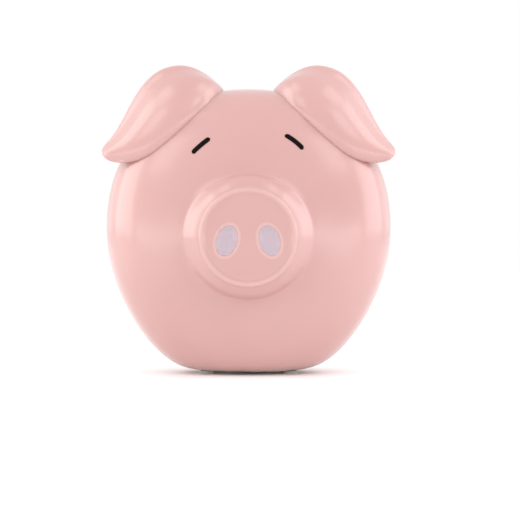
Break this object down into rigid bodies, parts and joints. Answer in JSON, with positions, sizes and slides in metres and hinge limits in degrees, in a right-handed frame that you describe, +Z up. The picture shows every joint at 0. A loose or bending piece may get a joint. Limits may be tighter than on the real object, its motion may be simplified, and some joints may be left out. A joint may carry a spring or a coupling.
{
  "type": "coin bank",
  "caption": "Hollow glazed pottery coin bank shaped as a round pig's head, with lop ears, a coin slot behind the crest and a pull-out rubber stopper in the base.",
  "frame": {"origin": "on the table, at the middle of the bounding box's underside", "axes": "+Z up, the face looks along -Y, +X towards the viewer's right"},
  "size_m": [0.17, 0.0898, 0.1797],
  "materials": {
    "pink_glaze": "gloss",
    "black_enamel": "gloss",
    "lilac_enamel": "gloss",
    "stopper_rubber": "matte",
    "pad_foam": "matte"
  },
  "bodies": {
    "bank": {"body_shell": "pink_glaze", "ear_left": "pink_glaze", "ear_right": "pink_glaze", "tail": "pink_glaze", "eye_left": "black_enamel", "eye_right": "black_enamel", "nostril_left": "lilac_enamel", "nostril_right": "lilac_enamel", "foot_pad_front_left": "pad_foam", "foot_pad_front_right": "pad_foam", "foot_pad_back_left": "pad_foam", "foot_pad_back_right": "pad_foam"},
    "stopper": {"stopper": "stopper_rubber"}
  },
  "joints": [
    {"name": "stopper_pull", "type": "slide", "parent": "bank", "child": "stopper", "axis": [0, 0, -1], "range_m": [0, 0.018]}
  ]
}
